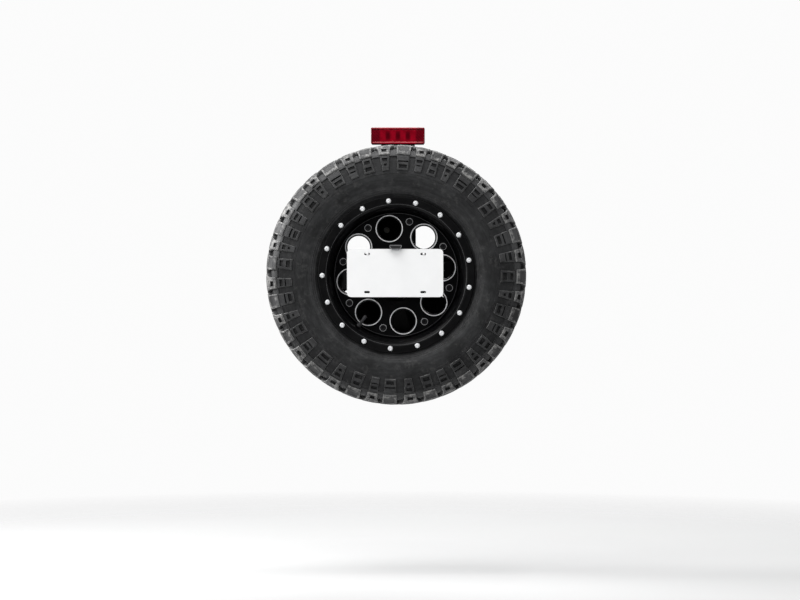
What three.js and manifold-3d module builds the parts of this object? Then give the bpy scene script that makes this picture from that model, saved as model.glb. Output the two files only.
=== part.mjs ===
// A tailgate-mounted spare tire carrier with its spare wheel, high brake lamp and number plate mount.
// Millimetres, +Z up. The wheel's axis is the Y axis and +Y points at the tailgate, whose skin is the plane Y = 0.
import * as THREE from "three";
import { mergeVertices } from "three/addons/utils/BufferGeometryUtils.js";
import Module from "manifold-3d";

const wasm = await Module();
wasm.setup();

// ---- Driving dimensions ----
const GAP = 0.3; // left between pieces that touch

const HUB_Y = -185; // the wheel's pad rests on the mounting plate here
const STUD_CIRCLE_R = 63.5;
const STUD_ANGLES = [0, 144, 216]; // degrees clockwise from the top, seen from the rear
const STUD_R = 7;
const STUD_END_Y = -238;

const RIM_BACK_Y = -70; // the lip nearest the tailgate
const RIM_FRONT_Y = -312; // the lip under the clamp ring
const RIM_CENTRE_Y = (RIM_BACK_Y + RIM_FRONT_Y) / 2;
const LIP_R = 236;
const LIP_T = 6;
const SEAT_R = 218.3;
const DROP_CENTRE_R = 191; // inside the rim's narrowest part, clear of the windows
const BARREL_WALL = 7;
const DISC_R = 203;
const DISC_FRONT_Y = -268;
const DISC_BACK_Y = -248;
const PAD_T = 20;
const PAD_R = 94;
const RECESS_R = 82;
const WINDOW_COUNT = 8;
const WINDOW_CIRCLE_R = 148.9;
const WINDOW_R = 33;
const WINDOW_MOUTH_R = 43;
const WINDOW_START = -8.6; // degrees clockwise from the top
const FACE_BOLT_CIRCLE_R = 174.3;
const WHEEL_SEGMENTS = 40;

const RING_INNER_R = 224;
const RING_OUTER_R = 250;
const RING_T = 11.7;
const RING_FRONT_Y = RIM_FRONT_Y - GAP - RING_T;
const RING_BOLT_COUNT = 17;
const RING_BOLT_CIRCLE_R = 234.6;
const RING_BOLT_START = 15.2; // degrees clockwise from the top

const TYRE_R = 415.5;
const TYRE_HALF_WIDTH = 146;
const TREAD_HALF_WIDTH = 118;
const LUG_COUNT = 40;
const LUG_LENGTH = 44;

const BASE_T = 6;
const LEG_ANGLES = { leg_right: 90, leg_bottom: 180, leg_left: 270 };
const MOUNT_PLATE_T = 10;
const MOUNT_PLATE_R = 88;
const BUMP_X = 232;
const BUMP_Z = -232;
const BUMP_BOSS_Y = -20;
const TAILGATE_BOLTS = [
  [-198, 0],
  [198, 0],
  [-118, -178],
  [118, -178],
];

const MAST_BACK_Y = -BASE_T - GAP;
const MAST_WEB_T = 5;
const MAST_DEPTH = 26;
const MAST_TRAVEL = 50;
const MAST_BOLT_Z = 150;
const MAST_BOLT_X = [-32, 38];
const LAMP_X = 5;
const LAMP_Z = [429, 482.5];
const LAMP_HALF_WIDTH = 87.75;
const LENS_BACK_Y = -66.5;
const LENS_FRONT_Y = -88;

const PLATE_CENTRE = [-3.5, 4.9]; // x, z
const PLATE_SIZE = [304.8, 152.4];
const PLATE_FRONT_Y = -332;
const PLATE_T = 1.2;
const PLATE_HOLES = [88.9, 60.3]; // half the spacing, across and up
const BRACKET_T = 4;
const TUBE_OUTER = 40;
const TUBE_WALL = 3;
const TUBE_FRONT_Y = -290;
const PLATE_LAMP_X = -1.9;

// ---- Shape tools ----
const radians = (degrees) => (degrees * Math.PI) / 180;

// A place on a circle about the wheel's axis, by its clockwise angle seen from the rear.
const around = (radius, degrees) => [
  radius * Math.sin(radians(degrees)),
  radius * Math.cos(radians(degrees)),
];

function solid(geometry) {
  const bare = new THREE.BufferGeometry();
  bare.setAttribute("position", geometry.getAttribute("position"));
  if (geometry.index) bare.setIndex(geometry.index);
  const merged = mergeVertices(bare, 1e-3);
  return new wasm.Manifold(
    new wasm.Mesh({
      numProp: 3,
      vertProperties: merged.attributes.position.array,
      triVerts: new Uint32Array(merged.index.array),
    }),
  );
}

function geometryOf(manifold) {
  const mesh = manifold.getMesh();
  const geometry = new THREE.BufferGeometry();
  geometry.setAttribute("position", new THREE.BufferAttribute(mesh.vertProperties, 3));
  geometry.setIndex(new THREE.BufferAttribute(mesh.triVerts, 1));
  const flat = geometry.toNonIndexed();
  flat.computeVertexNormals();
  return flat;
}

// A solid of revolution about Y. The profile's [radius, y] corners may run either way round.
function turned(profile, segments) {
  const area = profile.reduce((sum, [r, y], i) => {
    const [nextR, nextY] = profile[(i + 1) % profile.length];
    return sum + r * nextY - nextR * y;
  }, 0);
  const points = profile.map(([r, y]) => new THREE.Vector2(r, y));
  if (area < 0) points.reverse();
  points.push(points[0].clone());
  return new THREE.LatheGeometry(points, segments);
}

// Outlines are lists of [x, z] corners.
function arc(cx, cz, radius, from, to, steps) {
  return Array.from({ length: steps + 1 }, (_, i) => {
    const angle = radians(from + ((to - from) * i) / steps);
    return [cx + radius * Math.cos(angle), cz + radius * Math.sin(angle)];
  });
}

function circle(cx, cz, radius, steps = 10) {
  return arc(cx, cz, radius, 0, 360 * (1 - 1 / steps), steps - 1);
}

function roundedRectangle(cx, cz, width, height, radius, steps = 3) {
  const [x, z] = [width / 2 - radius, height / 2 - radius];
  return [
    ...arc(cx + x, cz - z, radius, -90, 0, steps),
    ...arc(cx + x, cz + z, radius, 0, 90, steps),
    ...arc(cx - x, cz + z, radius, 90, 180, steps),
    ...arc(cx - x, cz - z, radius, 180, 270, steps),
  ];
}

// A slot of the full width and height given, with round ends.
function slot(cx, cz, width, height) {
  return roundedRectangle(cx, cz, width, height, Math.min(width, height) / 2 - 0.01, 2);
}

// An outline given thickness from its back face at backY towards the rear.
function plate(corners, backY, thickness) {
  const shape = new THREE.Shape(corners.map(([x, z]) => new THREE.Vector2(x, z)));
  return new THREE.ExtrudeGeometry(shape, { depth: thickness, bevelEnabled: false })
    .rotateX(Math.PI / 2)
    .translate(0, backY, 0);
}

function piercedPlate(corners, holes, backY, thickness) {
  let made = solid(plate(corners, backY, thickness));
  for (const opening of holes) {
    made = made.subtract(solid(plate(opening, backY + 2, thickness + 4)));
  }
  return made;
}

function rod(radius, backY, frontY, segments = 12) {
  const length = backY - frontY;
  return new THREE.CylinderGeometry(radius, radius, length, segments).translate(
    0,
    (backY + frontY) / 2,
    0,
  );
}

function block([x0, x1], [y0, y1], [z0, z1]) {
  return new THREE.BoxGeometry(x1 - x0, y1 - y0, z1 - z0).translate(
    (x0 + x1) / 2,
    (y0 + y1) / 2,
    (z0 + z1) / 2,
  );
}

// A four-sided taper from one rectangle to another, each given as [x0, x1, z0, z1, y].
function taper(back, front) {
  const corners = ([x0, x1, z0, z1, y]) => [
    [x0, y, z0],
    [x1, y, z0],
    [x1, y, z1],
    [x0, y, z1],
  ];
  const positions = new Float32Array([...corners(back), ...corners(front)].flat());
  const faces = [0, 2, 1, 0, 3, 2, 4, 5, 6, 4, 6, 7];
  for (let i = 0; i < 4; i++) {
    const next = (i + 1) % 4;
    faces.push(i, next + 4, i + 4, i, next, next + 4);
  }
  const geometry = new THREE.BufferGeometry();
  geometry.setAttribute("position", new THREE.BufferAttribute(positions, 3));
  geometry.setIndex(faces);
  return geometry;
}

// ---- Materials ----
const paint = (color, roughness, metalness) =>
  new THREE.MeshStandardMaterial({ color, roughness, metalness });
const glossBlack = paint(0x0b0b0c, 0.25, 0.3);
const satinBlack = paint(0x121213, 0.5, 0.3);
const rubber = paint(0x26272a, 0.85, 0);
const zinc = paint(0xc9ccd0, 0.3, 1);
const blackPlastic = paint(0x0e0e0f, 0.6, 0);
const redLens = paint(0xb00018, 0.15, 0);
const clearLens = paint(0xe8ecf0, 0.1, 0);
const silver = paint(0xd0d4d8, 0.2, 1);
const whitePlate = paint(0xf4f5f6, 0.35, 0);

function named(name, geometry, material) {
  const mesh = new THREE.Mesh(geometry, material);
  mesh.name = name;
  return mesh;
}

// ---- Wheel ----
function tyre() {
  const outer = [
    [219.4, 96],
    [219.4, 110.3],
    [236, 114.2],
    [251, 120.6],
    [264, 135],
    [325, TYRE_HALF_WIDTH],
    [372, 137],
    [396, 120],
    [404, 106],
  ];
  const inner = [
    [390, 90],
    [325, 131],
    [234, 98],
  ];
  const place = ([r, w], side) => [r, RIM_CENTRE_Y + side * w];
  const profile = [
    ...outer.map((p) => place(p, 1)),
    ...[...outer].reverse().map((p) => place(p, -1)),
    ...[...inner].reverse().map((p) => place(p, -1)),
    ...inner.map((p) => place(p, 1)),
  ];
  const facet = 360 / LUG_COUNT;
  let made = solid(turned(profile, LUG_COUNT).rotateY(radians(facet / 2)));
  const lug = [
    [-TREAD_HALF_WIDTH, 392],
    [TREAD_HALF_WIDTH, 392],
    [TREAD_HALF_WIDTH, 402],
    [90, TYRE_R],
    [-90, TYRE_R],
    [-TREAD_HALF_WIDTH, 402],
  ];
  // Made along the vehicle's width, then turned so the outline runs across the tread.
  const bar = plate(lug, LUG_LENGTH / 2, LUG_LENGTH).rotateZ(Math.PI / 2).translate(0, RIM_CENTRE_Y, 0);
  for (let i = 0; i < LUG_COUNT; i++) {
    made = made.add(solid(bar.clone().rotateY(radians(i * facet))));
  }
  return geometryOf(made);
}

// The rim, with the dished cone that leads in to the disc.
function wheelBarrel() {
  const profile = [
    [228, RIM_BACK_Y],
    [LIP_R, RIM_BACK_Y],
    [LIP_R, RIM_BACK_Y - LIP_T],
    [SEAT_R, -79],
    [217, -100],
    [DROP_CENTRE_R + BARREL_WALL, -118],
    [DROP_CENTRE_R + BARREL_WALL, -170],
    [212, -205],
    [212, -284],
    [SEAT_R, -292],
    [SEAT_R, -303],
    [LIP_R, RIM_FRONT_Y + LIP_T],
    [LIP_R, RIM_FRONT_Y],
    [RING_INNER_R, RIM_FRONT_Y],
    [214, -304],
    [206, -280],
    [DISC_R + GAP, DISC_FRONT_Y],
    [DISC_R + GAP, -205],
    [DROP_CENTRE_R, -172],
    [DROP_CENTRE_R, -116],
    [211, -100],
    [212, -77],
  ];
  return geometryOf(solid(turned(profile, WHEEL_SEGMENTS)));
}

// The disc, with its round windows, the recess for the lug nuts and the pad that meets the carrier.
function wheelDisc() {
  const profile = [
    [DISC_R, DISC_BACK_Y + 8],
    [DISC_R, DISC_FRONT_Y],
    [RECESS_R + 6, DISC_FRONT_Y],
    [RECESS_R - 2, HUB_Y - PAD_T],
    [36, HUB_Y - PAD_T],
    [36, HUB_Y],
    [PAD_R, HUB_Y],
    [PAD_R + 10, DISC_BACK_Y],
    [194, DISC_BACK_Y],
  ];
  let made = solid(turned(profile, WHEEL_SEGMENTS));
  const mouth = 11; // depth of the windows' tapered mouths
  const window = solid(
    turned(
      [
        [0, DISC_BACK_Y + 8],
        [WINDOW_R, DISC_BACK_Y + 8],
        [WINDOW_R, DISC_FRONT_Y + mouth],
        [WINDOW_MOUTH_R, DISC_FRONT_Y - 0.01],
        [WINDOW_MOUTH_R, DISC_FRONT_Y - 5],
        [0, DISC_FRONT_Y - 5],
      ],
      16,
    ),
  );
  const boltHole = solid(rod(6.8, DISC_BACK_Y + 5, DISC_FRONT_Y - 5, 6));
  for (let i = 0; i < WINDOW_COUNT; i++) {
    const [x, z] = around(WINDOW_CIRCLE_R, windowAngle(i));
    made = made.subtract(window.translate([x, 0, z]));
    const [bx, bz] = around(FACE_BOLT_CIRCLE_R, windowAngle(i + 0.5));
    made = made.subtract(boltHole.translate([bx, 0, bz]));
  }
  const lugHole = solid(rod(8.4, HUB_Y + 5, HUB_Y - PAD_T - 5, 8));
  for (let i = 0; i < 5; i++) {
    const [x, z] = around(STUD_CIRCLE_R, i * 72);
    made = made.subtract(lugHole.translate([x, 0, z]));
  }
  return geometryOf(made);
}

function windowAngle(i) {
  return WINDOW_START + (i * 360) / WINDOW_COUNT;
}

function beadlockRing() {
  const profile = [
    [RING_INNER_R + 1, RIM_FRONT_Y - GAP],
    [RING_OUTER_R, RIM_FRONT_Y - GAP],
    [RING_OUTER_R, RING_FRONT_Y + 3],
    [RING_OUTER_R - 3, RING_FRONT_Y],
    [RING_INNER_R + 4, RING_FRONT_Y],
    [RING_INNER_R, RING_FRONT_Y + 4],
  ];
  let made = solid(turned(profile, 2 * RING_BOLT_COUNT));
  const drilled = solid(rod(5.2, RIM_FRONT_Y + 5, RING_FRONT_Y - 5, 6));
  for (let i = 0; i < RING_BOLT_COUNT; i++) {
    const [x, z] = around(RING_BOLT_CIRCLE_R, ringBoltAngle(i));
    made = made.subtract(drilled.translate([x, 0, z]));
  }
  return geometryOf(made);
}

function ringBoltAngle(i) {
  return RING_BOLT_START + (i * 360) / RING_BOLT_COUNT;
}

// Each of these is made at the origin, its head's seat at Y = 0 and its head towards the rear.
function ringBolt() {
  const shank = RING_T - 1;
  return turned([[0, shank], [4.2, shank], [4.2, 0], [8, 0], [8, -2.5], [5.8, -6], [0, -6]], 6);
}

function faceBolt() {
  return turned([[0, 14], [5.8, 14], [5.8, 0], [11.4, 0], [11.4, -6], [10, -7.5], [5.5, -7.5], [5.5, -3], [0, -3]], 6);
}

function hexBolt(shankR, shankLength, flangeR, headR) {
  const head = new THREE.CylinderGeometry(headR, headR, 7, 6).translate(0, -5.5, 0);
  const flange = new THREE.CylinderGeometry(flangeR - 1.5, flangeR, 2.5, 12)
    .rotateX(Math.PI)
    .translate(0, -1.25, 0);
  const shank = rod(shankR, shankLength, -1, 10);
  return geometryOf(solid(flange).add(solid(head)).add(solid(shank)));
}

// A rubber valve stem with its cap, standing along +Y from its seat.
function valveStem() {
  return turned([[0, 0], [8, 0], [8, 3], [6, 6], [4.6, 30], [5.4, 30], [5.4, 41], [4.2, 43], [0, 43]], 10);
}

function lugNut() {
  return geometryOf(piercedPlate(circle(0, 0, 11, 6), [circle(0, 0, STUD_R + 0.6)], 0, 19));
}

function wheelStud() {
  const headBack = HUB_Y + MOUNT_PLATE_T + GAP + 7;
  const headFront = HUB_Y + MOUNT_PLATE_T + GAP;
  return turned(
    [
      [0, headBack],
      [10, headBack],
      [10, headFront],
      [STUD_R, headFront],
      [STUD_R, STUD_END_Y + 3],
      [STUD_R - 2, STUD_END_Y],
      [0, STUD_END_Y],
    ],
    12,
  );
}

function wheelAssembly() {
  const group = new THREE.Group();
  group.add(named("tyre", tyre(), rubber));
  group.add(named("wheel_barrel", wheelBarrel(), glossBlack));
  group.add(named("wheel_disc", wheelDisc(), glossBlack));
  group.add(named("beadlock_ring", beadlockRing(), glossBlack));
  for (let i = 0; i < RING_BOLT_COUNT; i++) {
    const bolt = named(`ring_bolt_${String(i + 1).padStart(2, "0")}`, ringBolt(), zinc);
    const [x, z] = around(RING_BOLT_CIRCLE_R, ringBoltAngle(i));
    bolt.position.set(x, RING_FRONT_Y - GAP, z);
    group.add(bolt);
  }
  for (let i = 0; i < WINDOW_COUNT; i++) {
    const bolt = named(`face_bolt_${i + 1}`, faceBolt(), satinBlack);
    const [x, z] = around(FACE_BOLT_CIRCLE_R, windowAngle(i + 0.5));
    bolt.position.set(x, DISC_FRONT_Y - GAP, z);
    group.add(bolt);
  }
  const stem = named("valve_stem", valveStem(), rubber);
  const valveAngle = 216.4;
  const [x, z] = around(203, valveAngle);
  stem.position.set(x, -284, z);
  const [inX, inZ] = around(-1, valveAngle);
  const lean = new THREE.Vector3(inX, -0.35, inZ).normalize();
  stem.quaternion.setFromUnitVectors(new THREE.Vector3(0, 1, 0), lean);
  group.add(stem);
  return group;
}

// ---- Carrier ----
function basePlate() {
  const half = [
    [62, 168],
    [62, 92],
    [84, 74],
    [205, 62],
    [214, 50],
    [214, -70],
    [196, -150],
    [262, -216],
    [262, -248],
    [248, -262],
    [216, -262],
    [150, -206],
    [60, -214],
  ];
  const corners = [...half, ...half.map(([x, z]) => [-x, z]).reverse()];
  const holes = [
    ...TAILGATE_BOLTS.map(([x, z]) => circle(x, z, 5.6)),
    ...MAST_BOLT_X.map((x) => circle(x, MAST_BOLT_Z, 4.6)),
  ];
  for (const side of [-1, 1]) {
    holes.push(slot(side * 62, 36, 50, 34));
    holes.push(circle(side * 160, -60, 12));
    holes.push(circle(side * BUMP_X, BUMP_Z, 6));
  }
  let made = piercedPlate(corners, holes, 0, BASE_T);
  for (const side of [-1, 1]) {
    const boss = turned([[6, 0], [21, 0], [21, -8], [17, BUMP_BOSS_Y], [6, BUMP_BOSS_Y]], 12);
    made = made.add(solid(boss).translate([side * BUMP_X, 0, BUMP_Z]));
  }
  return geometryOf(made);
}

// A pressed channel, open towards the wheel's axis, standing along +X before it is turned to its place.
function leg() {
  const footY = -BASE_T - GAP;
  const topY = HUB_Y + MOUNT_PLATE_T + GAP;
  const shell = solid(taper([96, 182, -46, 46, footY], [42, 80, -22, 22, topY]));
  const wall = 5;
  const over = 4; // how far the cut runs past the channel's ends
  const cut = solid(
    taper(
      [60, 182 - wall + 2.4, -46 + wall - 0.6, 46 - wall + 0.6, footY + over],
      [20, 80 - wall - 2.4, -22 + wall + 0.6, 22 - wall - 0.6, topY - over],
    ),
  );
  return geometryOf(shell.subtract(cut));
}

function mountingPlate() {
  const holes = [circle(0, 0, 22, 16)];
  for (let i = 0; i < 5; i++) holes.push(circle(...around(STUD_CIRCLE_R, i * 72), STUD_R + 0.8, 10));
  const disc = circle(0, 0, MOUNT_PLATE_R, 36);
  return geometryOf(piercedPlate(disc, holes, HUB_Y + MOUNT_PLATE_T, MOUNT_PLATE_T - GAP));
}

// A rubber buffer bonded to its threaded stem, which screws into the base plate's boss.
function bumpStop() {
  const face = RIM_CENTRE_Y + TYRE_HALF_WIDTH + 1;
  const back = face + 14;
  const stemEnd = -13;
  return turned([[0, stemEnd], [5, stemEnd], [5, back], [22, back], [22, face + 4], [18, face], [0, face]], 12);
}

function carrierAssembly() {
  const group = new THREE.Group();
  group.add(named("base_plate", basePlate(), satinBlack));
  for (const [name, angle] of Object.entries(LEG_ANGLES)) {
    const one = named(name, leg(), satinBlack);
    one.rotation.y = radians(angle - 90);
    group.add(one);
  }
  group.add(named("mounting_plate", mountingPlate(), satinBlack));
  STUD_ANGLES.forEach((angle, i) => {
    const stud = named(`wheel_stud_${i + 1}`, wheelStud(), zinc);
    const [x, z] = around(STUD_CIRCLE_R, angle);
    stud.position.set(x, 0, z);
    group.add(stud);
  });
  TAILGATE_BOLTS.forEach(([x, z], i) => {
    const bolt = named(`tailgate_bolt_${i + 1}`, hexBolt(5, BASE_T - 0.3, 12, 8.7), zinc);
    bolt.position.set(x, -BASE_T - GAP, z);
    group.add(bolt);
  });
  for (const [side, name] of [[-1, "left"], [1, "right"]]) {
    const stop = named(`bump_stop_${name}`, bumpStop(), rubber);
    stop.position.set(side * BUMP_X, 0, BUMP_Z);
    group.add(stop);
  }
  MAST_BOLT_X.forEach((x, i) => {
    const through = BASE_T + MAST_WEB_T;
    const bolt = named(`mast_bolt_${["left", "right"][i]}`, hexBolt(4, through, 10, 7.5), zinc);
    bolt.position.set(x, MAST_BACK_Y - MAST_WEB_T - GAP, MAST_BOLT_Z);
    group.add(bolt);
  });
  return group;
}

// ---- High brake lamp ----
function lampMast() {
  const top = LAMP_Z[0] - 0.5;
  const wall = 4;
  const side = (inset) => [
    [64 - inset, inset ? 70 : 80],
    [64 - inset, 205],
    [LAMP_X + 55.5 - inset, 300],
    [LAMP_X + 55.5 - inset, top - inset],
    [LAMP_X - 55.5 + inset, top - inset],
    [LAMP_X - 55.5 + inset, 300],
    [-58 + inset, 205],
    [-58 + inset, inset ? 70 : 80],
  ];
  const tray = solid(plate(side(0), MAST_BACK_Y, MAST_DEPTH));
  const hollow = solid(plate(side(wall), MAST_BACK_Y - MAST_WEB_T, MAST_DEPTH));
  const tab = solid(block([-30, 40], [MAST_BACK_Y - MAST_WEB_T, MAST_BACK_Y], [400, 476]));
  let made = tray.subtract(hollow).add(tab);
  const slotHeight = MAST_TRAVEL + 9.6;
  for (const x of MAST_BOLT_X) {
    const cut = slot(x, MAST_BOLT_Z - MAST_TRAVEL / 2, 9.6, slotHeight);
    made = made.subtract(solid(plate(cut, 5, 40)));
  }
  return geometryOf(made);
}

function lampHousing() {
  const back = MAST_BACK_Y - MAST_WEB_T - GAP;
  const front = LENS_BACK_Y + GAP;
  const x = [LAMP_X - 86, LAMP_X + 86];
  const z = [LAMP_Z[0] + 1, LAMP_Z[1] - 1];
  const wall = 3;
  const shell = solid(block(x, [front, back], z));
  const inside = block([x[0] + wall, x[1] - wall], [front - 5, back - wall], [z[0] + wall, z[1] - wall]);
  const inlet = rod(6, back + 5, back - 8, 12).translate(LAMP_X + 62, 0, (z[0] + z[1]) / 2);
  return geometryOf(shell.subtract(solid(inside)).subtract(solid(inlet)));
}

function lampLens() {
  const edge = 4;
  const x = [LAMP_X - LAMP_HALF_WIDTH, LAMP_X + LAMP_HALF_WIDTH];
  const rim = taper([...x, ...LAMP_Z, LENS_BACK_Y], [...x, ...LAMP_Z, LENS_FRONT_Y + edge]);
  const face = taper(
    [...x, ...LAMP_Z, LENS_FRONT_Y + edge],
    [x[0] + 2, x[1] - 2, LAMP_Z[0] + 2, LAMP_Z[1] - 2, LENS_FRONT_Y],
  );
  const wall = 3;
  const hollow = block(
    [x[0] + wall, x[1] - wall],
    [LENS_FRONT_Y + wall, LENS_BACK_Y + 5],
    [LAMP_Z[0] + wall, LAMP_Z[1] - wall],
  );
  return geometryOf(solid(rim).add(solid(face)).subtract(solid(hollow)));
}

// A reflector tray with a row of lamp cells.
function lampReflector() {
  const cells = 5;
  const pitch = 32.6;
  const z = [LAMP_Z[0] + 6, LAMP_Z[1] - 6];
  let made = solid(block([LAMP_X - 81, LAMP_X + 81], [-60, -30], z));
  const bowl = turned([[0, -34], [5, -34], [14.5, -56], [14.5, -70], [0, -70]], 8);
  for (let i = 0; i < cells; i++) {
    const x = LAMP_X + (i - (cells - 1) / 2) * pitch;
    made = made.subtract(solid(bowl).translate([x, 0, (z[0] + z[1]) / 2]));
  }
  return geometryOf(made);
}

function lampAssembly() {
  const group = new THREE.Group();
  group.add(named("lamp_mast", lampMast(), satinBlack));
  group.add(named("lamp_housing", lampHousing(), blackPlastic));
  group.add(named("lamp_lens", lampLens(), redLens));
  group.add(named("lamp_reflector", lampReflector(), silver));
  return group;
}

// ---- Number plate mount ----
// A three-armed plate that sits under the lug nuts, with a square tube welded to its middle.
function plateBracket() {
  const back = HUB_Y - PAD_T - GAP;
  const armHalf = 17;
  const reach = 76;
  const arm = plate(roundedRectangle(0, reach / 2, 2 * armHalf, reach, 15), back, BRACKET_T);
  const drilled = solid(rod(STUD_R + 1, back + 5, back - 12, 10));
  const half = TUBE_OUTER / 2;
  const bore = half - TUBE_WALL;
  let made = solid(rod(30, back, back - BRACKET_T, 16));
  for (const angle of STUD_ANGLES) {
    const [x, z] = around(STUD_CIRCLE_R, angle);
    made = made.add(solid(arm.clone().rotateY(radians(angle)))).subtract(drilled.translate([x, 0, z]));
  }
  const tube = block([-half, half], [TUBE_FRONT_Y, back - 1], [-half, half]);
  const inside = block([-bore, bore], [TUBE_FRONT_Y - 5, back - BRACKET_T], [-bore, bore]);
  return geometryOf(made.add(solid(tube)).subtract(solid(inside)));
}

// The four fixing slots at a number plate's corners.
function plateSlots(width, height) {
  const [cx, cz] = PLATE_CENTRE;
  const [across, up] = PLATE_HOLES;
  return [[-1, -1], [1, -1], [1, 1], [-1, 1]].map(([side, level]) =>
    slot(cx + side * across, cz + level * up, width, height),
  );
}

// The backing plate on its square tube, which slides in the bracket's tube.
function plateHolder() {
  const [cx, cz] = PLATE_CENTRE;
  const front = PLATE_FRONT_Y + PLATE_T + GAP;
  const backing = piercedPlate(roundedRectangle(cx, cz, 250, 136, 8), plateSlots(14, 7.4), front + 3, 3);
  const half = TUBE_OUTER / 2 - TUBE_WALL - 0.4;
  const bore = half - 2.5;
  const rear = -226;
  const tube = block([-half, half], [front + 1, rear], [-half, half]);
  const inside = block([-bore, bore], [front + 3, rear + 5], [-bore, bore]);
  const tab = block([PLATE_LAMP_X - 14, PLATE_LAMP_X + 14], [front, front + 3], [60, 93]);
  return geometryOf(backing.add(solid(tab)).add(solid(tube)).subtract(solid(inside)));
}

function numberPlate() {
  const corners = roundedRectangle(...PLATE_CENTRE, ...PLATE_SIZE, 11, 5);
  return geometryOf(piercedPlate(corners, plateSlots(17.5, 7), PLATE_FRONT_Y + PLATE_T, PLATE_T));
}

function plateScrew() {
  return turned([[0, 9], [2.9, 9], [2.9, 0], [5.4, 0], [5.4, -1.5], [3.5, -3.2], [0, -3.2]], 10);
}

function plateLamp() {
  const back = PLATE_FRONT_Y + PLATE_T; // against the holder's tab
  const front = PLATE_FRONT_Y - 20;
  const plateTop = PLATE_CENTRE[1] + PLATE_SIZE[1] / 2;
  const half = 19.5;
  const upper = [
    [-half, plateTop + 0.6],
    [half, plateTop + 0.6],
    [half, 94],
    [half - 1.5, 95.2],
    [1.5 - half, 95.2],
    [-half, 94],
  ];
  const lower = [
    [-13, 79],
    [13, 79],
    [half, 87],
    [half, 90],
    [-half, 90],
    [-half, 87],
  ];
  const overhang = PLATE_FRONT_Y - 0.6;
  return geometryOf(
    solid(plate(upper, back, back - front))
      .add(solid(plate(lower, overhang, overhang - front)))
      .translate([PLATE_LAMP_X, 0, 0]),
  );
}

function plateLampLens() {
  const x = [PLATE_LAMP_X - 11, PLATE_LAMP_X + 11];
  return block(x, [PLATE_FRONT_Y - 17, PLATE_FRONT_Y - 4], [76.4, 78.7]);
}

function plateAssembly() {
  const group = new THREE.Group();
  group.add(named("plate_bracket", plateBracket(), satinBlack));
  STUD_ANGLES.forEach((angle, i) => {
    const nut = named(`lug_nut_${i + 1}`, lugNut(), zinc);
    const [x, z] = around(STUD_CIRCLE_R, angle);
    nut.position.set(x, HUB_Y - PAD_T - BRACKET_T - 2 * GAP, z);
    group.add(nut);
  });
  group.add(named("plate_holder", plateHolder(), satinBlack));
  group.add(named("number_plate", numberPlate(), whitePlate));
  for (const [side, name] of [[-1, "left"], [1, "right"]]) {
    const screw = named(`plate_screw_${name}`, plateScrew(), zinc);
    const [cx, cz] = PLATE_CENTRE;
    screw.position.set(cx + side * PLATE_HOLES[0], PLATE_FRONT_Y - GAP, cz + PLATE_HOLES[1]);
    group.add(screw);
  }
  group.add(named("plate_lamp", plateLamp(), blackPlastic));
  group.add(named("plate_lamp_lens", plateLampLens(), clearLens));
  return group;
}

const carrier = new THREE.Group();
carrier.add(carrierAssembly(), wheelAssembly(), lampAssembly(), plateAssembly());

export default carrier;
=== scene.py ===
"""A tailgate-mounted spare tire carrier: off-road spare wheel, high brake lamp and number plate.

Pieces are made in millimetres in the CAD model's frame and stored in metres. The wheel's axis is
the Y axis, the tailgate is at Y = 0, and -Y is the rear. Angles about the wheel's axis run
clockwise from the top, seen from the rear. A profile is a list of (radius, y) points, and an
outline is a list of (x, z) points.
"""
import math

import bmesh
import bpy
from mathutils import Matrix, Vector
from mathutils.geometry import tessellate_polygon


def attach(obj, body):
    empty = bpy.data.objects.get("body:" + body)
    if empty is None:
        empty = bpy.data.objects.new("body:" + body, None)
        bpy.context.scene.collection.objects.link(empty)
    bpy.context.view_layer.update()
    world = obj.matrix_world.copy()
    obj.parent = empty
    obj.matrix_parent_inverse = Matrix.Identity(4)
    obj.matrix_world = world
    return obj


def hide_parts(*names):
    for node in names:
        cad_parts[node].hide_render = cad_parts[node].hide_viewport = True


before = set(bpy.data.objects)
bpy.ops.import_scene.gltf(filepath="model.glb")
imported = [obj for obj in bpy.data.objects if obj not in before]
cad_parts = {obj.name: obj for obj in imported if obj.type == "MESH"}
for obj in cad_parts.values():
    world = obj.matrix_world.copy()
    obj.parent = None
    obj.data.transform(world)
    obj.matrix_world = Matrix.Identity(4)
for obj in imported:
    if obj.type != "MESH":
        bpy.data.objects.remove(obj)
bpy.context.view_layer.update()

MM = 0.001

# ---- Driving dimensions, mm ----
WHEEL_Y = -191.0  # the wheel's middle plane
RIM_FRONT_Y = -312.0
DISC_FRONT_Y = -268.0
DISC_BACK_Y = -248.0
HUB_Y = -185.0
HUB_FRONT_Y = -205.0
RING_FRONT_Y = -324.0
RING_INNER_R = 222.5
RING_OUTER_R = 250.0
RING_BOLTS = 17
RING_BOLT_R = 234.6
RING_BOLT_START = 15.2
WINDOWS = 8
WINDOW_CIRCLE_R = 148.9
WINDOW_START = -8.6
WINDOW_LAND = (40.2, 43.2)  # the machined silver ring round each window
FACE_BOLT_CIRCLE_R = 174.3
STUD_CIRCLE_R = 63.5
LUG_HOLES = 5
VALVE_R = 203.0
VALVE_Y = -284.0
VALVE_ANGLE = 216.4

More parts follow.
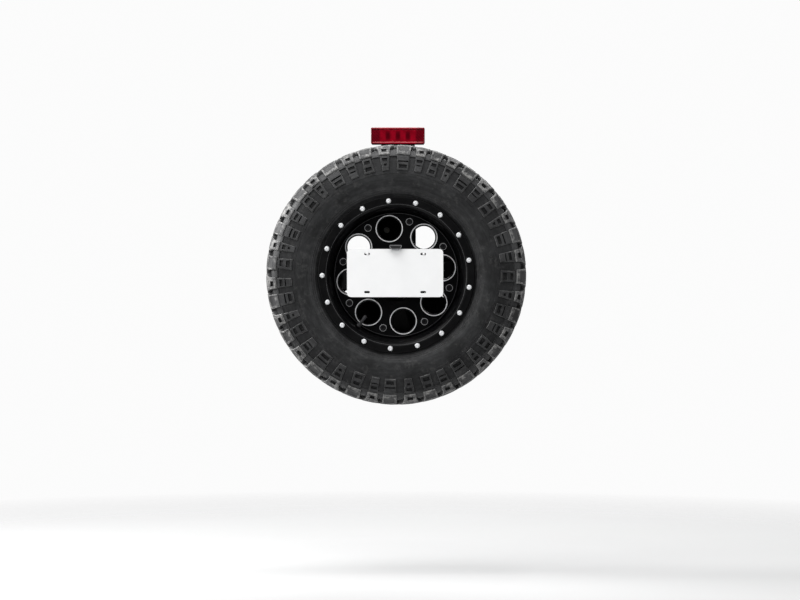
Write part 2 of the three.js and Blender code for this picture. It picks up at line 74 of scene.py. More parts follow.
# Middle angle of each tread pitch: their lengths vary, as on a real tyre. The kinds of side lug,
# A to D, repeat in fours.
PITCH_ANGLES = [
    3.7, 11.8, 19.0, 26.5, 36.0, 44.5, 54.3, 62.5, 71.5, 81.0,
    91.0, 100.5, 108.5, 118.4, 128.0, 136.0, 146.0, 155.8, 163.8, 173.5,
    183.5, 191.0, 200.0, 210.3, 220.8, 231.0, 240.8, 248.5, 258.0, 265.6,
    275.8, 283.8, 291.5, 299.8, 310.0, 318.0, 328.0, 337.3, 345.3, 354.3,
]
SHOULDER_HALF = {"A": 22.0, "B": 18.0, "C": 20.5, "D": 17.0}  # half a shoulder block's length
TREAD_HEIGHT = 15.0
SHOULDER_DROP = 6.5  # how much lower the shoulder blocks are at their outer end
SIDE_LUG_HEIGHT = 5.2
LEDGE_HEIGHT = 3.4
TYRE_HALF_WIDTH = 146.2
LUG_BEVEL = 1.5
LUG_DRAFT = 1.5  # how much wider a block is at its foot
LUG_FOOT_DEPTH = 2.5  # how far a block's foot is sunk in the tyre
OUTLINE_STEP = (14.0, 7.0)  # longest straight stretch of an outline round and across the tyre
# Half the bare tyre's section: distance from the wheel's middle plane, and radius.
SECTION = [
    (0, 400.3), (40, 400.3), (74, 399.9), (95, 397.6), (109, 393), (119, 386.5),
    (126.5, 378), (131.5, 367), (135.2, 353), (138.6, 340), (141.6, 327), (143.6, 314),
    (143.8, 300), (141.6, 286), (137.2, 274), (131, 264.5), (124.6, 256.5), (121.0, 250.5),
    (117, 242), (114.2, 234), (112.6, 226), (110.2, 219),
]
# Moulded ribs round the sidewall: radius, height and half width.
SIDEWALL_RIBS = ((258.5, 1.3, 2.6), (265.0, 0.9, 1.6), (271.0, 0.6, 1.2), (322.0, 0.9, 1.4))

# The rubber's colour follows its relief, from 0 in the recesses, which is painted shade, to 1 on
# the edges,
# which are worn and carry a painted highlight. These are the bare tyre's values outwards of each
# radius:
# grooves, ledge, lug band, sidewall and bead. The grooves and the lug band are darkened as painted
# shade, and the ledge is lightened as a painted highlight.
CARCASS_TONES = ((396, 0.02), (377, 0.5), (330, 0.20), (280, 0.26), (0, 0.44))
# Tone of each kind of block's top. The centre blocks' lower tone is painted shade; the shoulder
# blocks' light tone is partly worn rubber and partly painted highlight.
SHOULDER_TONE = 0.85
CENTRE_TONE = 0.6
SIDE_LUG_TONE = 0.52
# Lighter block edges are partly wear and partly a painted highlight.
EDGE_WEAR_AND_HIGHLIGHT = 0.3  # how much lighter a block's edges are than its top
# Painted shade: recess walls take this dark tone, and a recess is painted black, as full shade,
# from the depth below on.
RECESS_WALL_SHADE = 0.12
FULL_SHADE_DEPTH = 4.2  # a recess is black from this depth on

PLATE_CENTRE = (-3.5, 4.9)
PLATE_SIZE = (304.8, 152.4)
PLATE_FRONT_Y = -332.0
PLATE_HOLES = (88.9, 60.3)  # the slots' distance from the plate's centre lines
PLATE_SCREW_SHIFT = 1.4
PLATE_LAMP_X = -1.9
PLATE_LAMP_DEPTH = 19.0

LAMP_X = 5.0
LAMP_Z = (429.0, 482.5)
LAMP_HALF_WIDTH = 87.75
LENS_FRONT_Y = -88.0
LENS_BACK_Y = -66.5
LAMP_CELL_PITCH = 32.6
LAMP_CELL_RADIUS = 17.0

BASE_PLATE_T = 6.0
RECESS_DEPTH = 2.6
# Middle, width and height of each stiffening recess pressed into the base plate's back.
PRESSED_RECESSES = (
    (-118, -52, 28, 176),
    (118, -52, 28, 176),
    (0, -52, 92, 104),
    (0, -166, 172, 26),
)
BUMPERS = ((-232.0, -232.0), (232.0, -232.0))
TAILGATE_BOLTS = ((-198, 0), (198, 0), (-118, -178), (118, -178))
MAST_BOLTS = ((-32, 150), (38, 150))
STUD_ANGLES = (0, 144, 216)

# The stage, in metres. Each light: name, place, target, size and power.
FLOOR_RADIUS = 4.0
FLOOR_Z = -0.95
LIGHTS = (
    ("overhead", (-0.5, -0.2, 2.8), (0, -0.1, 0.0), (1.0, 2.4), 112),
    ("key", (-0.8, -2.3, 3.0), (0, -0.3, 0.0), (5.0, 2.2), 118),
    ("left_fill", (-4.2, -3.8, 0.7), (0, -0.3, 0.0), (2.0, 1.6), 116),
    ("right_fill", (4.2, -3.8, 1.6), (0, -0.3, 0.0), (2.0, 1.6), 60),
    ("left_side", (-3.1, 0.3, 1.3), (0, -0.2, 0.0), (1.1, 1.4), 215),
    ("right_side", (3.2, 0.2, 1.2), (0, -0.2, 0.0), (1.2, 1.4), 30),
    ("back", (0.6, 2.8, 1.6), (0, 0, 0.1), (2.4, 1.6), 95),
)


# ---- Materials ----
class Nodes:
    """A small builder for one material's node tree."""

    def __init__(self, name):
        self.material = bpy.data.materials.new(name)
        self.material.use_nodes = True
        self.tree = self.material.node_tree
        self.shader = self.tree.nodes["Principled BSDF"]
        self.coords = self.add("ShaderNodeTexCoord").outputs["Object"]

    def add(self, kind, **settings):
        node = self.tree.nodes.new(kind)
        for key, value in settings.items():
            setattr(node, key, value)
        return node

    def link(self, source, target):
        self.tree.links.new(source, target)

    def noise(self, scale, detail, roughness=0.55, source=None):
        """A noise pattern. Scale is its number of features per metre, or per unit of its source."""
        node = self.add("ShaderNodeTexNoise")
        node.inputs["Scale"].default_value = scale
        node.inputs["Detail"].default_value = detail
        node.inputs["Roughness"].default_value = roughness
        self.link(source or self.coords, node.inputs["Vector"])
        return node.outputs["Fac"]

    def bands(self, direction, scale):
        """Soft parallel stripes."""
        node = self.add("ShaderNodeTexWave", wave_type="BANDS", bands_direction=direction)
        node.inputs["Scale"].default_value = scale
        self.link(self.coords, node.inputs["Vector"])
        return node.outputs["Fac"]

    def ramp(self, factor, *stops):
        """Colours or greys over a 0 to 1 factor, as (position, value) stops."""
        node = self.add("ShaderNodeValToRGB")
        elements = node.color_ramp.elements
        while len(elements) < len(stops):
            elements.new(0.5)
        for element, (position, value) in zip(elements, stops):
            element.position = position
            grey = isinstance(value, (int, float))
            element.color = (value, value, value, 1) if grey else (*value, 1)
        self.link(factor, node.inputs["Fac"])
        return node.outputs["Color"]

    def mix(self, factor, a, b, blend="MIX"):
        node = self.add("ShaderNodeMix", data_type="RGBA", blend_type=blend)
        for socket, value in ((node.inputs[0], factor), (node.inputs[6], a), (node.inputs[7], b)):
            if isinstance(value, bpy.types.NodeSocket):
                self.link(value, socket)
            elif isinstance(value, tuple):
                socket.default_value = (*value, 1)
            else:
                socket.default_value = value
        return node.outputs[2]

    def math(self, operation, *values):
        """One arithmetic node; each value is a number or a socket."""
        node = self.add("ShaderNodeMath", operation=operation)
        for socket, value in zip(node.inputs, values):
            if isinstance(value, bpy.types.NodeSocket):
                self.link(value, socket)
            else:
                socket.default_value = value
        return node.outputs[0]

    def axes(self):
        """The object coordinates' X, Y and Z, in metres."""
        split = self.add("ShaderNodeSeparateXYZ")
        self.link(self.coords, split.inputs[0])
        return split.outputs

    def distance(self, a, b):
        """The length of the vector (a, b)."""
        squares = self.math("ADD", self.math("MULTIPLY", a, a), self.math("MULTIPLY", b, b))
        return self.math("SQRT", squares)

    def round_the_wheel(self, along, across):
        """A vector that stretches a pattern round the wheel's axis.

        It has along features per radian and across features per metre.
        """
        x, y, z = self.axes()
        radius = self.distance(x, z)
        # The cosine and sine of the angle close the pattern on itself.
        combine = self.add("ShaderNodeCombineXYZ")
        self.link(self.math("MULTIPLY", self.math("DIVIDE", x, radius), along), combine.inputs[0])
        self.link(self.math("MULTIPLY", self.math("DIVIDE", z, radius), along), combine.inputs[1])
        depth = self.math("MULTIPLY", y, across)
        self.link(self.math("MULTIPLY_ADD", radius, across, depth), combine.inputs[2])
        return combine.outputs[0]

    def bump(self, height, strength, distance, normal=None):
        node = self.add("ShaderNodeBump")
        node.inputs["Strength"].default_value = strength
        node.inputs["Distance"].default_value = distance
        self.link(height, node.inputs["Height"])
        if normal is not None:
            self.link(normal, node.inputs["Normal"])
        return node.outputs["Normal"]

    def finish(self, color, roughness, metallic=0.0, normal=None, **sockets):
        for key, value in (("Base Color", color), ("Roughness", roughness), ("Metallic", metallic)):
            socket = self.shader.inputs[key]
            if isinstance(value, bpy.types.NodeSocket):
                self.link(value, socket)
            else:
                socket.default_value = value
        if normal is not None:
            self.link(normal, self.shader.inputs["Normal"])
        for key, value in sockets.items():
            self.shader.inputs[key.replace("_", " ")].default_value = value
        return self.material


def paint(name, dark, light, roughness, grain=0.0, **sockets):
    """Paint with a slight colour drift and uneven gloss. Without grain it has a faint ripple."""
    n = Nodes(name)
    color = n.ramp(n.noise(9, 3), (0.3, dark), (0.7, light))
    rough = n.ramp(n.noise(35, 5), (0.3, roughness[0]), (0.7, roughness[1]))
    normal = n.bump(n.noise(900 if grain else 260, 2), grain or 0.02, 0.0006)
    return n.finish(color, rough, 0.0, normal, **sockets)


def tyre_rubber():
    """Black rubber with painted shade in its recesses, lighter worn edges with a painted highlight,
    and dust on the blocks' worn tops.
    """
    n = Nodes("tyre_rubber")
    relief = n.add("ShaderNodeAttribute", attribute_name="relief").outputs["Fac"]
    # The relief ramp paints shade: near black in recesses, lightest on edges, where it is wear and
    # painted highlight.
    color = n.ramp(
        relief,
        (0.0, (0.0036, 0.0038, 0.0041)),
        (0.3, (0.0165, 0.0168, 0.0174)),
        (0.55, (0.0250, 0.0252, 0.0258)),
        (0.85, (0.040, 0.040, 0.041)),
        (1.0, (0.155, 0.155, 0.153)),
    )
    drift = n.ramp(n.noise(13, 6, 0.65), (0.38, 0.70), (0.62, 1.32))
    color = n.mix(1.0, color, drift, "MULTIPLY")
    streaks = n.noise(1, 6, 0.65, source=n.round_the_wheel(9, 150))
    color = n.mix(1.0, color, n.ramp(streaks, (0.42, 0.82), (0.58, 1.20)), "MULTIPLY")
    scuffs = n.ramp(n.noise(46, 8, 0.75), (0.53, 0.0), (0.66, 0.32))
    color = n.mix(scuffs, color, (0.075, 0.074, 0.072))
    dust = n.ramp(n.noise(60, 8, 0.75), (0.46, 0.0), (0.62, 0.85))
    worn = n.ramp(relief, (0.62, 0.0), (0.85, 1.0))
    color = n.mix(n.math("MULTIPLY", dust, worn), color, (0.21, 0.207, 0.201))
    rough = n.ramp(n.noise(40, 5), (0.3, 0.50), (0.7, 0.66))
    grain = n.bump(n.noise(1400, 3), 0.2, 0.0004)
    normal = n.bump(n.noise(70, 5, 0.6), 0.12, 0.0008, n.bump(streaks, 0.1, 0.0006, grain))
    return n.finish(color, rough, 0.0, normal, Specular_IOR_Level=0.2)


def metal(name, base, roughness, metallic=1.0):
    """Bare metal with fine tooling marks."""
    n = Nodes(name)
    lo = tuple(c * 0.82 for c in base)
    color = n.ramp(n.noise(120, 4), (0.3, lo), (0.7, base))
    marks = n.noise(700, 3, 0.6)
    rough = n.ramp(marks, (0.3, roughness[0]), (0.7, roughness[1]))
    return n.finish(color, rough, metallic, n.bump(marks, 0.08, 0.0003))


def rubber(name, dark, light):
    n = Nodes(name)
    color = n.ramp(n.noise(60, 5), (0.3, dark), (0.7, light))
    rough = n.ramp(n.noise(90, 4), (0.3, 0.55), (0.7, 0.8))
    return n.finish(color, rough, 0.0, n.bump(n.noise(1500, 2), 0.2, 0.0004))


def plate_sheet():
    n = Nodes("plate_sheet")
    color = n.ramp(n.noise(14, 3), (0.3, (0.80, 0.802, 0.80)), (0.7, (0.835, 0.837, 0.835)))
    rough = n.ramp(n.noise(60, 4), (0.3, 0.42), (0.7, 0.54))
    normal = n.bump(n.noise(420, 2), 0.03, 0.0004)
    return n.finish(color, rough, 0.0, normal, Specular_IOR_Level=0.3)


def lens_red():
    """Red moulded plastic: a row of round optics, darkened as painted shade of the lamp's cells
    behind them, and fine prisms at both ends.
    """
    n = Nodes("lens_red")
    x, _, z = n.axes()
    along = n.math("SUBTRACT", n.math("DIVIDE", x, MM), LAMP_X)
    row = n.math("COSINE", n.math("MULTIPLY", along, 2 * math.pi / LAMP_CELL_PITCH))
    height = n.math("SUBTRACT", n.math("DIVIDE", z, MM), sum(LAMP_Z) / 2)
    up = n.math("DIVIDE", height, LAMP_CELL_RADIUS)
    belt = n.math("MAXIMUM", n.math("SUBTRACT", 1.0, n.math("MULTIPLY", up, up)), 0.0)
    aside = n.math("DIVIDE", n.math("ABSOLUTE", along), 100.0)
    inner = n.ramp(aside, (0.44, 1.0), (0.54, 0.25))
    round_off = n.ramp(n.math("MULTIPLY_ADD", row, 0.5, 0.5), (0.34, 0.0), (0.86, 1.0))
    optic_shade = n.math("MULTIPLY", round_off, n.math("MULTIPLY", n.math("POWER", belt, 0.5), inner))
    drift = n.ramp(n.noise(55, 4), (0.3, (0.160, 0.0006, 0.0062)), (0.7, (0.248, 0.0013, 0.0105)))
    # Painted shade: the optics are darker, for the shade inside the lamp's cells.
    color = n.mix(optic_shade, drift, (0.062, 0.0002, 0.0030))
    ends = n.ramp(aside, (0.56, 0.0), (0.62, 1.0))
    color = n.mix(n.math("MULTIPLY", ends, 0.55), color, (0.066, 0.0006, 0.0040))
    hatch = n.math("MULTIPLY", n.bands("DIAGONAL", 62), ends)
    color = n.mix(n.math("MULTIPLY", hatch, 0.5), color, (0.045, 0.0004, 0.0028))
    normal = n.bump(hatch, 0.5, 0.0008, n.bump(n.bands("X", 150), 0.10, 0.0005))
    return n.finish(color, 0.2, 0.0, normal, Coat_Weight=0.05, Coat_Roughness=0.08,
                    Specular_IOR_Level=0.12)


def clear_plastic():
    n = Nodes("clear_plastic")
    color = n.ramp(n.noise(90, 3), (0.3, (0.80, 0.83, 0.86)), (0.7, (0.9, 0.92, 0.94)))
    normal = n.bump(n.noise(500, 2), 0.1, 0.0004)
    return n.finish(color, 0.12, 0.0, normal, Transmission_Weight=0.6)


TYRE = tyre_rubber()
GLOSS = paint("gloss_black", (0.0016, 0.0016, 0.0018), (0.0030, 0.0030, 0.0034), (0.26, 0.40),
              Coat_Weight=0.08, Coat_Roughness=0.12, Specular_IOR_Level=0.10)
RING_PAINT = paint("ring_black", (0.0016, 0.0016, 0.0018), (0.0034, 0.0034, 0.0037),
                   (0.38, 0.52), Specular_IOR_Level=0.12)
TEXTURED = paint("textured_black", (0.0026, 0.0026, 0.0029), (0.0050, 0.0050, 0.0054),
                 (0.46, 0.64), grain=0.45, Specular_IOR_Level=0.10)
# Painted shade: the legs are a darker, duller copy of the textured black, for the shade behind the
# wheel and tailgate.
LEG_SHADED_BLACK = paint("leg_black_painted_shade", (0.0012, 0.0012, 0.0014), (0.0026, 0.0026, 0.0029),
                  (0.5, 0.66), grain=0.45, Specular_IOR_Level=0.01)
BOLT_BLACK = paint("bolt_black", (0.004, 0.004, 0.0045), (0.008, 0.008, 0.009), (0.3, 0.45),
                   Specular_IOR_Level=0.3)
LAMP_PLASTIC = paint("lamp_plastic", (0.0042, 0.0042, 0.0046), (0.0080, 0.0080, 0.0086),
                     (0.4, 0.55), grain=0.25)
# Painted highlight: the light rim round the plate lamp hood's front.
HOOD_RIM_HIGHLIGHT = paint("hood_rim_highlight", (0.14, 0.14, 0.145), (0.19, 0.19, 0.195), (0.4, 0.55), grain=0.25)
# Painted highlight: light pink for light caught on the lens's top and bottom lips.
LENS_EDGE_HIGHLIGHT = paint("lens_edge_highlight", (0.55, 0.10, 0.11), (0.68, 0.16, 0.17), (0.2, 0.3))
MACHINED = metal("machined_silver", (0.86, 0.86, 0.87), (0.38, 0.52), metallic=0.3)
# Painted highlight: thin light lines on the dish's edges.
DISH_EDGE_HIGHLIGHT = metal("dish_edge_highlight", (0.085, 0.085, 0.088), (0.34, 0.48), metallic=0.3)
BOLT_EDGE = metal("bolt_edge", (0.62, 0.62, 0.63), (0.34, 0.48), metallic=0.3)
ZINC = metal("bright_zinc", (0.80, 0.81, 0.82), (0.34, 0.48), metallic=0.4)
DULL_ZINC = metal("dull_zinc", (0.46, 0.45, 0.42), (0.34, 0.5), metallic=0.8)
SCREW = metal("white_zinc", (0.84, 0.84, 0.84), (0.35, 0.5), metallic=0.12)
REFLECTOR = metal("reflector_foil", (0.72, 0.72, 0.72), (0.12, 0.24))
VALVE_RUBBER = rubber("valve_rubber", (0.010, 0.010, 0.011), (0.016, 0.016, 0.018))
VALVE_CAP = rubber("valve_cap", (0.016, 0.016, 0.018), (0.026, 0.026, 0.029))
BUFFER_RUBBER = rubber("buffer_rubber", (0.012, 0.012, 0.012), (0.03, 0.03, 0.03))
PLATE = plate_sheet()
RED = lens_red()
CLEAR = clear_plastic()


# ---- Shape tools ----
def around(radius, degrees):
    """x and z of a point on a circle about the wheel's axis."""
    angle = math.radians(degrees)
    return radius * math.sin(angle), radius * math.cos(angle)


def rounded(corners, radius, steps=3, closed=True):
    """The outline with each corner eased by up to the given radius."""
    count = len(corners)
    out = []
    for i, corner in enumerate(corners):
        here = Vector(corner)
        if not closed and i in (0, count - 1):
            out.append(tuple(here))
            continue
        before = Vector(corners[i - 1]) - here
        after = Vector(corners[(i + 1) % count]) - here
        reach = min(radius, 0.45 * before.length, 0.45 * after.length)
        start = here + before.normalized() * reach
        end = here + after.normalized() * reach
        for k in range(steps + 1):
            t = k / steps
            out.append(tuple(start * (1 - t) ** 2 + here * 2 * t * (1 - t) + end * t ** 2))
    return out


def circle(cx, cz, radius, steps=48):
    angles = [2 * math.pi * i / steps for i in range(steps)]
    return [(cx + radius * math.cos(a), cz + radius * math.sin(a)) for a in angles]


def hexagon(cx, cz, radius, turn=0.0):
    corners = [around(radius, turn + 60 * k) for k in range(6)]
    return [(cx + x, cz + z) for x, z in corners]


def rectangle(cx, cz, width, height):
    x, z = width / 2, height / 2
    return [(cx - x, cz - z), (cx + x, cz - z), (cx + x, cz + z), (cx - x, cz + z)]


def piece(name, bm, material, body, replaces=(), angle=32, flat=True):
    """Stores a mesh made in millimetres as a piece that rides on a body.

    Edges steeper than the angle stay sharp, and flat keeps large faces evenly lit.
    """
    bmesh.ops.remove_doubles(bm, verts=bm.verts, dist=1e-3)
    bmesh.ops.dissolve_degenerate(bm, edges=bm.edges, dist=1e-3)
    bmesh.ops.recalc_face_normals(bm, faces=bm.faces)
    mesh = bpy.data.meshes.new(name)
    bm.to_mesh(mesh)
    bm.free()
    mesh.transform(Matrix.Scale(MM, 4))
    for polygon in mesh.polygons:
        polygon.use_smooth = True
    mesh.set_sharp_from_angle(angle=math.radians(angle))
    mesh.materials.append(material)
    obj = bpy.data.objects.new(name, mesh)
    bpy.context.scene.collection.objects.link(obj)
    if flat:
        obj.modifiers.new("flat_faces", "WEIGHTED_NORMAL").keep_sharp = True
    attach(obj, body)
    for node in replaces:
        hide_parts(node)
    return obj


def lathe(bm, profile, centre=(0.0, 0.0), segments=96):
    """Adds a closed profile turned about a line along Y. Corners on the axis close the ends."""
    rings = []
    for k in range(segments):
        a = 2 * math.pi * k / segments
        rings.append([bm.verts.new((centre[0] + r * math.sin(a), y, centre[1] + r * math.cos(a)))
                      for r, y in profile])
    count = len(profile)
    for k in range(segments):
        one, two = rings[k], rings[(k + 1) % segments]
        for i in range(count):
            j = (i + 1) % count
            if profile[i][0] == 0 and profile[j][0] == 0:
                continue
            bm.faces.new((one[i], one[j], two[j], two[i]))


def flat_piece(bm, loops, back_y, thickness, bevel=0.8):
    """Adds a plate with holes: an outer outline and inner ones, its edges softened by a bevel."""
    curve = bpy.data.curves.new("outline", "CURVE")
    curve.dimensions = "2D"
    curve.fill_mode = "BOTH"
    curve.extrude = thickness / 2 - bevel
    curve.bevel_depth = bevel
    curve.bevel_resolution = 2
    curve.offset = -bevel
    for loop in loops:
        spline = curve.splines.new("POLY")
        spline.points.add(len(loop) - 1)
        for point, (x, z) in zip(spline.points, loop):
            point.co = (x, z, 0, 1)
        spline.use_cyclic_u = True
    holder = bpy.data.objects.new("outline", curve)
    mesh = bpy.data.meshes.new_from_object(holder)
    middle = Matrix.Translation((0, back_y - thickness / 2, 0))
    mesh.transform(middle @ Matrix.Rotation(math.pi / 2, 4, "X"))
    bm.from_mesh(mesh)
    bpy.data.objects.remove(holder)
    bpy.data.curves.remove(curve)
    bpy.data.meshes.remove(mesh)


def box(bm, low, high, bevel, steps=2):
    """Adds a box with softened edges."""
    verts = bmesh.ops.create_cube(bm, size=1)["verts"]
    low, high = Vector(low), Vector(high)
    for v in verts:
        v.co = (low + high) / 2 + Vector(a * b for a, b in zip(v.co, high - low))
    edges = list({e for v in verts for e in v.link_edges})
    bmesh.ops.bevel(bm, geom=edges, offset=bevel, segments=steps, affect="EDGES", profile=0.5)


# ---- Tyre ----
def smooth_curve(points, steps):
    """Points along a smooth curve through the given ones."""
    path = [Vector(p) for p in points]
    path = [2 * path[0] - path[1], *path, 2 * path[-1] - path[-2]]
    out = []
    for i in range(1, len(path) - 2):
        a, b, c, d = path[i - 1:i + 3]
        for k in range(steps):
            t = k / steps
            out.append(0.5 * (2 * b + (c - a) * t + (2 * a - 5 * b + 4 * c - d) * t ** 2
                              + (3 * b - a - 3 * c + d) * t ** 3))
    out.append(path[-2])
    return out


class Surface:
    """The bare tyre's surface, by distance t along its section from the middle of the tread."""

    def __init__(self):
        self.points = smooth_curve(SECTION, 5)
        self.lengths = [0.0]
        for a, b in zip(self.points, self.points[1:]):
            self.lengths.append(self.lengths[-1] + (b - a).length)

    def at(self, t):
        """Half width, radius and outward normal at t."""
        t = min(max(t, 0.0), self.lengths[-1] - 1e-6)
        i = next(k for k in range(1, len(self.lengths)) if self.lengths[k] > t) - 1
        f = (t - self.lengths[i]) / (self.lengths[i + 1] - self.lengths[i])
        place = self.points[i].lerp(self.points[i + 1], f)
        ahead = self.points[min(i + 2, len(self.points) - 1)]
        behind = self.points[max(i - 1, 0)]
        along = (ahead - behind).normalized()
        return place.x, place.y, -along.y, along.x

    def t_at(self, radius):
        """The distance t at which the sidewall reaches a radius."""
        for i in range(len(self.points) - 1, 0, -1):
            a, b = self.points[i], self.points[i - 1]
            if a.y <= radius <= b.y:
                share = (radius - a.y) / (b.y - a.y)
                return self.lengths[i] + (self.lengths[i - 1] - self.lengths[i]) * share
        return 0.0

    def place(self, angle, s, t, h):
        """A point s along the circumference, t across the tyre and h above the rubber.

        Positive t is the half that faces the rear.
        """
        w, r, nw, nr = self.at(abs(t))
        w, reach = w + nw * h, r + nr * h
        a = math.radians(angle) + s / r
        side = -1 if t >= 0 else 1
        return reach * math.sin(a), WHEEL_Y + side * w, reach * math.cos(a)


SURFACE = Surface()
T = SURFACE.t_at


def shrink(corners, amount):
    """The outline moved inwards by an amount, or outwards if it is negative."""
    area = sum(a[0] * b[1] - b[0] * a[1] for a, b in zip(corners, corners[1:] + corners[:1]))
    turn = 1 if area > 0 else -1
    out = []
    for i, corner in enumerate(corners):
        here = Vector(corner)
        before = (here - Vector(corners[i - 1])).normalized()
        after = (Vector(corners[(i + 1) % len(corners)]) - here).normalized()
        inward = Vector((-before.y - after.y, before.x + after.x)) * turn
        if inward.length < 1e-6:
            inward = Vector((-before.y, before.x)) * turn
        inward.normalize()
        lean = max(0.4, abs(inward.dot(Vector((-before.y, before.x)))))
        out.append(tuple(here + inward * amount / lean))
    return out


def matched(corners, amount):
    """The outline moved inwards by an amount, split finely enough to follow the tyre's curve.

    The split depends on the given corners only, so the points of two such outlines pair up.
    """
    small = shrink(corners, amount)
    step_s, step_t = OUTLINE_STEP
    out = []
    for i, (s0, t0) in enumerate(corners):
        j = (i + 1) % len(corners)
        s1, t1 = corners[j]
        a, b = small[i], small[j]
        steps = max(1, math.ceil(abs(t1 - t0) / step_t), math.ceil(abs(s1 - s0) / step_s))
        for k in range(steps):
            out.append((a[0] + (b[0] - a[0]) * k / steps, a[1] + (b[1] - a[1]) * k / steps))
    return out


def add_lug(bm, pitch, corners, height, recesses, side, tone):
    """A moulded block standing on the tyre: corners are (s, t), height is a function of t.

    A pitch is its angle and its stretch towards the pitch before and the one after. Side -1 is
    the other half of the tyre, where the pattern is turned about. Tone is the relief layer's
    value on the block's top. Each recess is an outline and a depth.
    """
    angle, before, after = pitch
    relief = bm.verts.layers.float["relief"]

    def ring(outline, offset, shade, rise=height):
        verts = []
        for s, t in outline:
            h = rise(t) + offset
            s *= side
            vert = bm.verts.new(SURFACE.place(angle, s * (after if s > 0 else before), t * side, h))
            vert[relief] = shade
            verts.append(vert)
        return verts

    def bridge(one, two):
        for i in range(len(one)):
            j = (i + 1) % len(one)
            bm.faces.new((one[i], one[j], two[j], two[i]))

    # Painted shade: the foot, where a block meets the tyre, is dark; the edge is lighter, for wear
    # and a painted highlight.
    foot = ring(matched(corners, -LUG_DRAFT), -LUG_FOOT_DEPTH, 0.0, rise=lambda t: 0.0)
    edge = ring(matched(corners, 0), -LUG_BEVEL, min(1.0, tone + EDGE_WEAR_AND_HIGHLIGHT))
    top_outline = matched(corners, LUG_BEVEL)
    top = ring(top_outline, 0, tone)
    bridge(foot, edge)
    bridge(edge, top)
    loops, verts = [top_outline], list(top)
    for outline, depth in recesses:
        lip_outline = matched(outline, -0.6)
        lip = ring(lip_outline, 0, tone)
        # Painted shade: recess walls are dark, and floors darken with depth until they are black.
        wall = ring(matched(outline, 0), -min(0.8, depth / 2), RECESS_WALL_SHADE)
        floor = ring(matched(outline, 0.8), -depth, tone * max(0.0, 1 - depth / FULL_SHADE_DEPTH))
        bridge(lip, wall)
        bridge(wall, floor)
        bm.faces.new(floor)
        loops.append(lip_outline)
        verts += lip
    for a, b, c in tessellate_polygon([[Vector((s, t, 0)) for s, t in loop] for loop in loops]):
        bm.faces.new((verts[a], verts[b], verts[c]))


def pitches():
    """Each pitch's angle, its stretch towards the one before and the one after, and its kind."""
    mean = 360 / len(PITCH_ANGLES)
    out = []
    for i, angle in enumerate(PITCH_ANGLES):
        before = (angle - PITCH_ANGLES[i - 1]) % 360 / mean
        after = (PITCH_ANGLES[(i + 1) % len(PITCH_ANGLES)] - angle) % 360 / mean
        out.append(((angle, before, after), "ABCD"[i % 4]))
    return out


def shoulder_height(t):
    """Full height on the tread, easing off down the shoulder."""
    start, end = 92.0, T(379)
    fade = min(max((t - start) / (end - start), 0.0), 1.0)
    return TREAD_HEIGHT - SHOULDER_DROP * fade


def centre_height(t):
    return TREAD_HEIGHT


def side_lug_height(t):
    """Height of the side lugs, kept low where the tyre is widest."""
    w, _, nw, _ = SURFACE.at(t)
    return min(SIDE_LUG_HEIGHT, (TYRE_HALF_WIDTH - w) / max(nw, 0.2))


def carcass_outline():
    """Half the bare tyre's section as (radius, w), with the band that joins the shoulder blocks."""
    top, bottom = T(394), T(374)
    stations = [(t, 0.0) for t in SURFACE.lengths if t < top - 2 or t > bottom + 1.5]
    stations += [(t, LEDGE_HEIGHT) for t in SURFACE.lengths if top + 1 < t < bottom - 1.2]
    stations += [(top - 2, 0.0), (top, LEDGE_HEIGHT)]
    stations += [(bottom - 1, LEDGE_HEIGHT), (bottom, LEDGE_HEIGHT - 1.0), (bottom + 0.8, 0.0)]
    out = []
    for t, h in sorted(stations):
        w, r, nw, nr = SURFACE.at(t)
        out.append((r + nr * h, w + nw * h))
    return out


def build_tyre():
    bm = bmesh.new()
    outer = carcass_outline()
    inner = [(223, 96), (236, 99), (268, 119), (325, 130), (380, 108), (390, 60)]
    profile = [(r, WHEEL_Y - w) for r, w in reversed(outer)]
    profile += [(r, WHEEL_Y + w) for r, w in outer[1:]]
    profile += [(r, WHEEL_Y + w) for r, w in inner]
    profile += [(r, WHEEL_Y - w) for r, w in reversed(inner)]
    lathe(bm, profile, segments=200)
    for radius, height, width in SIDEWALL_RIBS:
        for side in (1, -1):
            section = []
            rib = ((-width, -0.5), (-width / 2, height), (width / 2, height), (width, -0.5))
            for offset, h in rib:
                w, r, nw, nr = SURFACE.at(T(radius + offset))
                section.append((r + nr * h, WHEEL_Y - side * (w + nw * h)))
            lathe(bm, section, segments=200)
    relief = bm.verts.layers.float.new("relief")
    # Carcass relief values, with the painted shade in the grooves and lug band and the painted
    # highlight on the ledge.
    for vert in bm.verts:
        radius = math.hypot(vert.co.x, vert.co.z)
        vert[relief] = next(tone for limit, tone in CARCASS_TONES if radius > limit)
    piece("tyre_carcass", bm, TYRE, "wheel", ["tyre"], angle=50, flat=False)

    bm = bmesh.new()
    bm.verts.layers.float.new("relief")
    for side in (1, -1):
        for pitch, kind in pitches():
            add_pitch(bm, pitch, kind, side)
    piece("tyre_tread", bm, TYRE, "wheel", ["tyre"], angle=28, flat=False)


def pocket(half_top, top, half_bottom, bottom):
    """A four-sided outline on the tyre's side, between two radii."""
    upper, lower = T(top), T(bottom)
    return [(-half_top, upper), (half_top, upper), (half_bottom, lower), (-half_bottom, lower)]


# Each kind of side lug: half its width at the top and the bottom, and its recesses.
SIDE_LUGS = {
    "A": (20.0, 17.0, [pocket(16.5, 360.4, 16.2, 356.4), pocket(12.6, 348, 11.8, 337.4)]),
    "B": (16.0, 12.0, [pocket(10.6, 368.4, 9.8, 360), pocket(12.4, 352, 12.0, 348.4)]),
    "C": (14.6, 17.0, [pocket(9.0, 369.6, 9.6, 360.4), pocket(10.2, 349, 11.0, 337.4)]),
    "D": (15.0, 9.6, [pocket(8.4, 369.6, 7.2, 360.4), pocket(4.4, 351.6, 3.6, 345)]),
}


